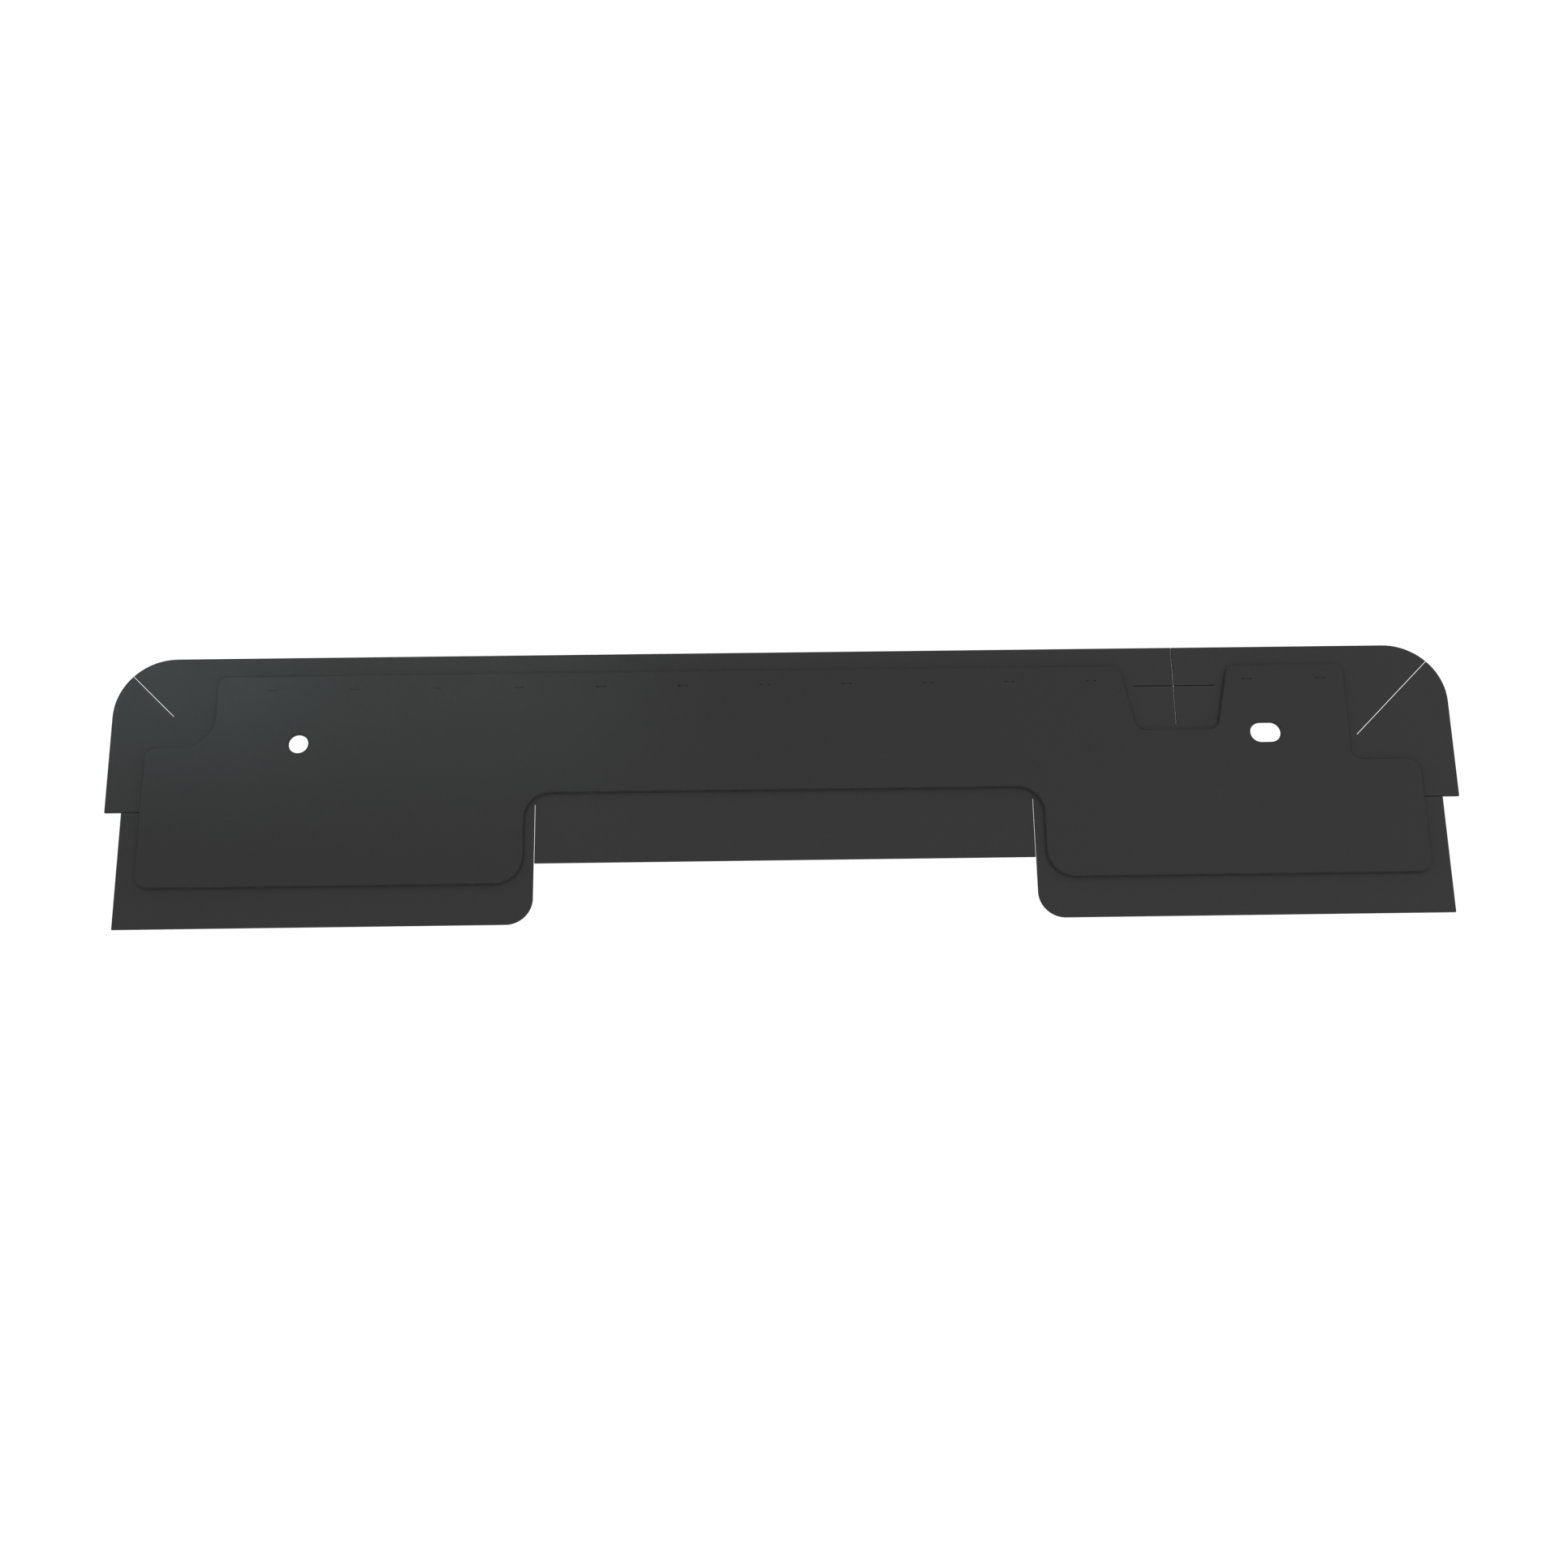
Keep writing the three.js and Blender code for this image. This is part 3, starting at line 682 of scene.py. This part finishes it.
# -------------------------------------------------------------- face plate
plate_outline = filleted([
    (-284, -65.8, 6), (-115, -65.8, 12.6), (-115, -24.2, 12), (115, -24.2, 12), (115, -65.8, 12.6), (284, -65.8, 6),
    (284, -13.3, 5.6), (253.6, -13.3, 4.5), (253.6, 32.4, 4.4), (200.9, 32.4, 5), (194.7, 1.7, 5), (158.5, 1.7, 5),
    (152.3, 32.4, 5), (-253.6, 32.4, 4.4), (-253.6, -0.9, 14.6), (-284, -0.9, 5),
])
plate_holes = [stadium(-FIX_X, 0, HOLE_D, HOLE_D, 5.0), stadium(FIX_X, 0, SLOT_L, SLOT_W, 5.0)]
plate = link(slab(plate_outline, plate_holes, FRONT, -SHEET_T, 0.5, 0.0, rings=6), "plate")
# narrow grooves the crowns are pressed into, deeper towards the legs
pockets = []


def crown_y(x):
    """Middle of the crown wire: proud in the middle, pressed in towards the legs."""
    t = min(1.0, max(0.0, (abs(x) - 0.35) / (CROWN / 2 - WIRE - 0.35)))
    return FRONT - PROUD + WIRE / 2 + DIP * t * t * (3 - 2 * t)


for sx in STAPLE_X:
    bed = [(sx + x, crown_y(x) + WIRE / 2 - 0.01) for x in np.linspace(leg, -leg, 15)]
    pockets.append(bar_z([(sx - half, FRONT - 1), (sx + half, FRONT - 1), (sx + half, 0), (sx + leg, 0)] + bed
                         + [(sx - leg, 0), (sx - half, 0)],
                         STAPLE_Z - WIRE / 2 - 0.03, STAPLE_Z + WIRE / 2 + 0.03))
boolean(plate, link(join(pockets), "cutter"), "DIFFERENCE")
plate.name = "moulded_plate"
finish_mesh(plate, PLATE, RIM_WITH_PAINTED_LIGHT_WALLS, "mounted_panel", inner_material=BORE, is_inner=near_bore)
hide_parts("face_plate")


# ----------------------------------------------------------------- staples
def staple(name, sx):
    """A wire swept along its crown, two legs and two clinched tips."""
    r = 0.3
    w = WIRE / 2
    tip_y, leg_x = -0.05 - w, CROWN / 2 - w
    bend_y = crown_y(leg_x - r)
    path = [(0.3, tip_y), (0.9, tip_y - 0.01)]
    path += [(leg_x - r + r * math.sin(a), tip_y - r + r * math.cos(a)) for a in np.linspace(0, math.pi / 2, 6)]
    path += [(leg_x, y) for y in np.linspace(tip_y - r - 0.4, bend_y + r + 0.3, 3)]
    path += [(leg_x - r + r * math.cos(a), bend_y + r - r * math.sin(a)) for a in np.linspace(0, math.pi / 2, 6)]
    path += [(x, crown_y(x)) for x in np.linspace(leg_x - r - 0.2, 0.0, 9)]
    path = path + [(-x, y) for x, y in path[-2::-1]]
    section = []
    c = 0.09
    for cx, cy, a0 in ((w - c, w - c, 0), (-w + c, w - c, 90), (-w + c, -w + c, 180), (w - c, -w + c, 270)):
        for a in (0, 45, 90):
            t = math.radians(a0 + a)
            section.append((cx + c * math.cos(t), cy + c * math.sin(t)))
    bm = bmesh.new()
    rings = []
    count = len(path)
    for i in range(-1, count + 1):
        j = min(max(i, 0), count - 1)
        p = np.array(path[j])
        a, b = np.array(path[max(j - 1, 0)]), np.array(path[min(j + 1, count - 1)])
        t = (b - a) / np.linalg.norm(b - a)
        side = np.array([-t[1], t[0]])
        shrink, slide = 1.0, 0.0
        if i in (-1, count):
            shrink = 0.72
        elif i in (0, count - 1):
            slide = 0.08 if i == 0 else -0.08
        p = p + t * slide
        rings.append([bm.verts.new((sx + p[0] + side[0] * u * shrink, p[1] + side[1] * u * shrink, STAPLE_Z + v * shrink))
                      for u, v in section])
    for a, b in zip(rings, rings[1:]):
        for k in range(len(a)):
            m = (k + 1) % len(a)
            bm.faces.new((a[k], a[m], b[m], b[k]))
    bm.faces.new(rings[0][::-1])
    bm.faces.new(rings[-1])
    bmesh.ops.recalc_face_normals(bm, faces=bm.faces)
    for f in bm.faces:
        f.smooth = True
    for e in bm.edges:
        e.smooth = len(e.link_faces) == 2 and math.degrees(e.link_faces[0].normal.angle(e.link_faces[1].normal, 0)) < 50
    bmesh.ops.scale(bm, vec=(MM, MM, MM), verts=bm.verts)
    o = link(bm, name)
    o.data.materials.append(WIRE_MAT)
    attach(o, "mounted_panel")
    return o


for i, sx in enumerate(STAPLE_X):
    node = "staple_%02d" % (i + 1)
    o = staple("wire_" + node, sx)
    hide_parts(node)

# ------------------------------------------------------------------- stage
bm = bmesh.new()
bmesh.ops.create_circle(bm, cap_ends=True, segments=128, radius=14.0)
floor = link(bm, "floor")
floor.location = (0, 0, -1.0)
white = Nodes("floor_paper")
paper = white.noise(40.0, 3.0, 0.5)
white.finish(white.mix(white.span(paper, 0.3, 0.7, 0, 1), grey(0.80), grey(0.82)), white.span(paper, 0.3, 0.7, 0.85, 0.95),
             white.bump(paper, 0.0002, 0.2), Specular_IOR_Level=0.1)
white.bsdf.inputs["Emission Color"].default_value = (1, 1, 1, 1)
white.bsdf.inputs["Emission Strength"].default_value = 0.16
floor.data.materials.append(white.mat)

world = bpy.data.worlds.new("studio")
scene.world = world
world.use_nodes = True
t = world.node_tree
t.nodes.clear()
out = t.nodes.new("ShaderNodeOutputWorld")
seen, unseen = t.nodes.new("ShaderNodeBackground"), t.nodes.new("ShaderNodeBackground")
seen.inputs["Color"].default_value = (1, 1, 1, 1)
seen.inputs["Strength"].default_value = 1.05
ray = t.nodes.new("ShaderNodeLightPath")
pick = t.nodes.new("ShaderNodeMixShader")
coord = t.nodes.new("ShaderNodeTexCoord")
split = t.nodes.new("ShaderNodeSeparateXYZ")
ramp = t.nodes.new("ShaderNodeMapRange")
ramp.interpolation_type = "SMOOTHSTEP"
for key, v in (("From Min", -0.88), ("From Max", 0.2), ("To Min", 0.425), ("To Max", 0.99)):
    ramp.inputs[key].default_value = v
t.links.new(coord.outputs["Generated"], split.inputs[0])
t.links.new(split.outputs["Y"], ramp.inputs["Value"])
t.links.new(ramp.outputs["Result"], unseen.inputs["Strength"])
t.links.new(ray.outputs["Is Camera Ray"], pick.inputs["Fac"])
t.links.new(unseen.outputs[0], pick.inputs[1])
t.links.new(seen.outputs[0], pick.inputs[2])
t.links.new(pick.outputs[0], out.inputs["Surface"])


def light(name, where, at, size, watts, colour=(1, 1, 1), spread=180.0):
    data = bpy.data.lights.new(name, "AREA")
    data.shape = "RECTANGLE"
    data.size, data.size_y = size
    data.energy, data.color = watts, colour
    data.spread = math.radians(spread)
    o = bpy.data.objects.new(name, data)
    scene.collection.objects.link(o)
    o.location = where
    o.rotation_mode = "QUATERNION"
    o.rotation_quaternion = (Vector(at) - Vector(where)).to_track_quat("-Z", "Y")
    o.visible_camera = False
    return o


light("key", (0.1, -2.4, 1.4), (0.0, 0, 0), (3.2, 1.8), 3.8)
light("right", (1.5, -1.9, 0.3), (0.2, 0, 0), (1.0, 1.0), 1.75)
light("left_band", (-0.40, -1.05, 0.30), (-0.235, 0, 0.066), (0.32, 0.135), 0.0094, (0.72, 1.0, 0.86), 6.5)
light("left_corner", (-0.50, -1.05, 0.32), (-0.285, 0, 0.052), (0.12, 0.10), 0.0031, (0.45, 0.74, 1.0), 6.5)

# ------------------------------------------------------------------ camera
pitch, yaw, roll = (math.radians(v) for v in (-18.3029496, -0.75528791, -0.9574631))
FOCAL, K = 2654.0631871931655, 0.36032
rz = Matrix.Rotation(roll, 3, "Z")
rx = Matrix.Rotation(pitch, 3, "X")
ry = Matrix.Rotation(yaw, 3, "Y")
turn = rz @ rx @ ry
U, V = turn @ Vector((1, 0, 0)), turn @ Vector((0, -1, 0))
N = U.cross(V)
cam_data = bpy.data.cameras.new("camera")
cam = bpy.data.objects.new("camera", cam_data)
scene.collection.objects.link(cam)
right = Vector((U.x, -N.x, V.x))
up = Vector((-U.y, N.y, -V.y))
ahead = Vector((U.z, -N.z, V.z))
place = Vector((
    (-FOCAL * U.z + 0.47) * K,
    -SHEET_T - (-FOCAL * N.z) * K,
    (-FOCAL * V.z) * K - 21.4,
)) * MM
cam.matrix_world = Matrix((
    (right.x, up.x, -ahead.x, place.x),
    (right.y, up.y, -ahead.y, place.y),
    (right.z, up.z, -ahead.z, place.z),
    (0, 0, 0, 1),
))
cam_data.sensor_fit = "HORIZONTAL"
cam_data.sensor_width = 36.0
cam_data.lens = 36.0 * FOCAL / 1932.0
cam_data.shift_x, cam_data.shift_y = -0.5 / 1932, 0.35 / 1932
cam_data.clip_start, cam_data.clip_end = 0.02, 50.0
cam_data.dof.use_dof = False
scene.camera = cam
scene.view_settings.view_transform = "Standard"
scene.view_settings.look = "None"

bpy.context.view_layer.update()
